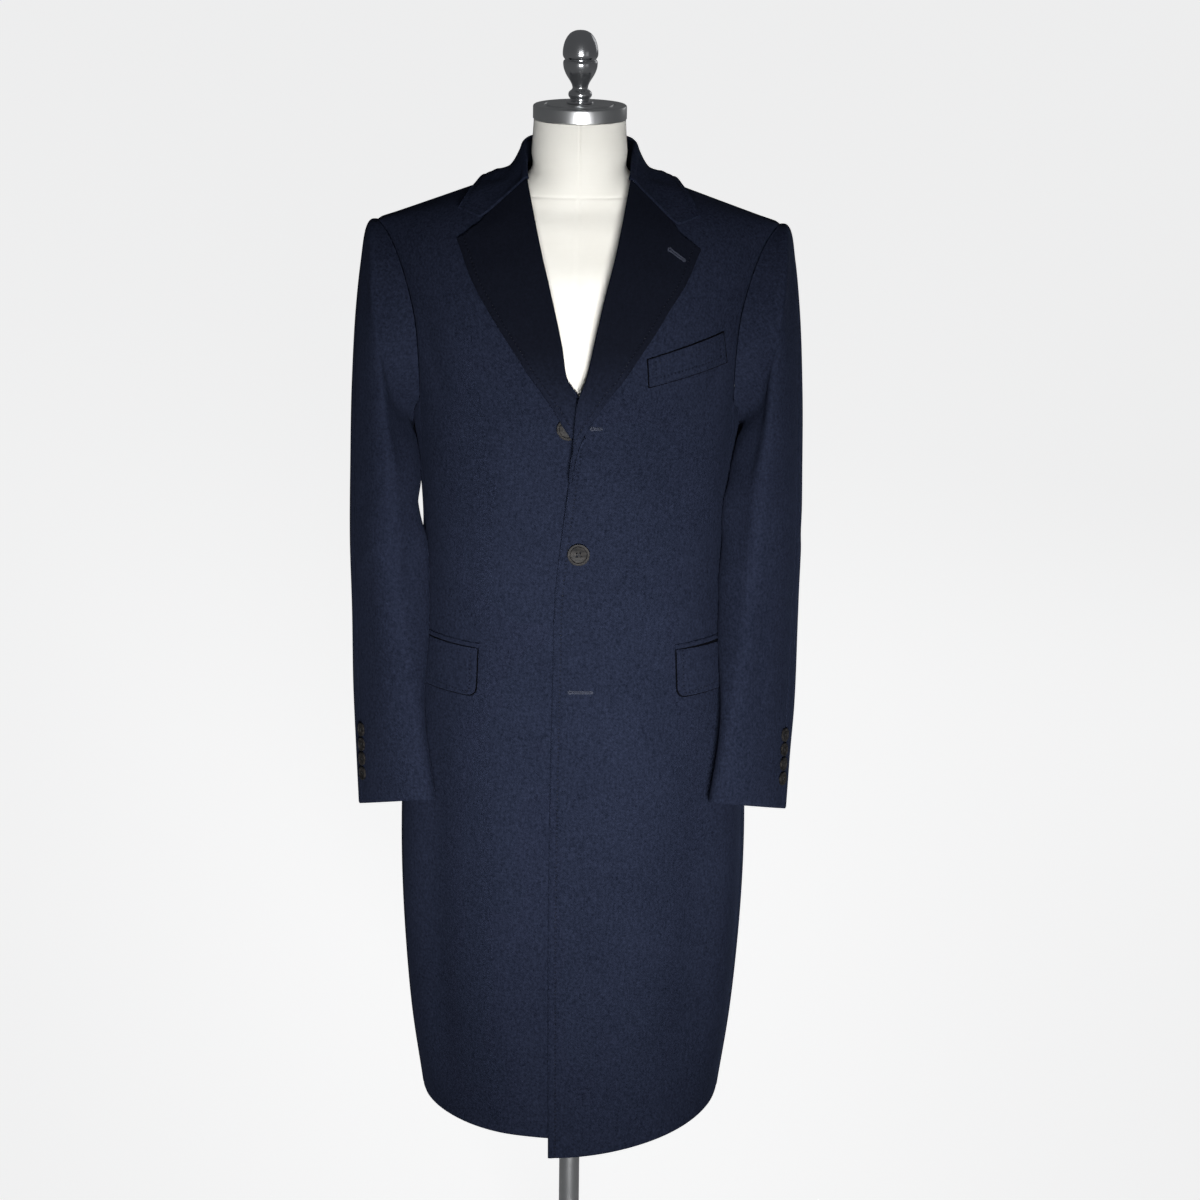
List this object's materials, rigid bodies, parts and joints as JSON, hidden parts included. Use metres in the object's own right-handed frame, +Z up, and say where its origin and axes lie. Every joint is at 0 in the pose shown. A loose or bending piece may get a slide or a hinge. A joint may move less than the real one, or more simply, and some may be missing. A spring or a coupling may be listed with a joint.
{
  "type": "wool overcoat on a dress form",
  "caption": "Single-breasted knee-length navy wool overcoat with notch lapels and flap pockets, buttoned on a limbless tailor's dress form with a round foot.",
  "frame": {"origin": "centre of the underside of the stand's round foot, on the floor", "axes": "+Z up along the pole, the coat's front faces -Y, +X is the wearer's left"},
  "size_m": [0.5306, 0.4, 1.6448],
  "materials": {
    "navy_wool": "brushed wool coating, matt with a soft nap",
    "dark_horn": "dark horn, satin",
    "form_linen": "cream linen, matt",
    "polished_metal": "turned and polished"
  },
  "bodies": {
    "root": {"back_left": "navy_wool", "back_right": "navy_wool", "breast_welt": "navy_wool", "collar_fall": "navy_wool", "collar_stand": "navy_wool", "cuff_button_left_1": "dark_horn", "cuff_button_left_2": "dark_horn", "cuff_button_left_3": "dark_horn", "cuff_button_left_4": "dark_horn", "cuff_button_right_1": "dark_horn", "cuff_button_right_2": "dark_horn", "cuff_button_right_3": "dark_horn", "cuff_button_right_4": "dark_horn", "form_base_plate": "polished_metal", "form_finial": "polished_metal", "form_neck_plate": "polished_metal", "form_torso": "form_linen", "front_button_middle": "dark_horn", "front_button_top": "dark_horn", "front_left": "navy_wool", "front_right": "navy_wool", "lapel_left": "navy_wool", "lapel_right": "navy_wool", "pocket_flap_left": "navy_wool", "pocket_flap_right": "navy_wool", "pocket_jetting_left": "navy_wool", "pocket_jetting_right": "navy_wool", "side_left": "navy_wool", "side_right": "navy_wool", "stand_foot": "polished_metal", "stand_pole": "polished_metal", "top_sleeve_left": "navy_wool", "top_sleeve_right": "navy_wool", "under_sleeve_left": "navy_wool", "under_sleeve_right": "navy_wool"}
  },
  "joints": []
}
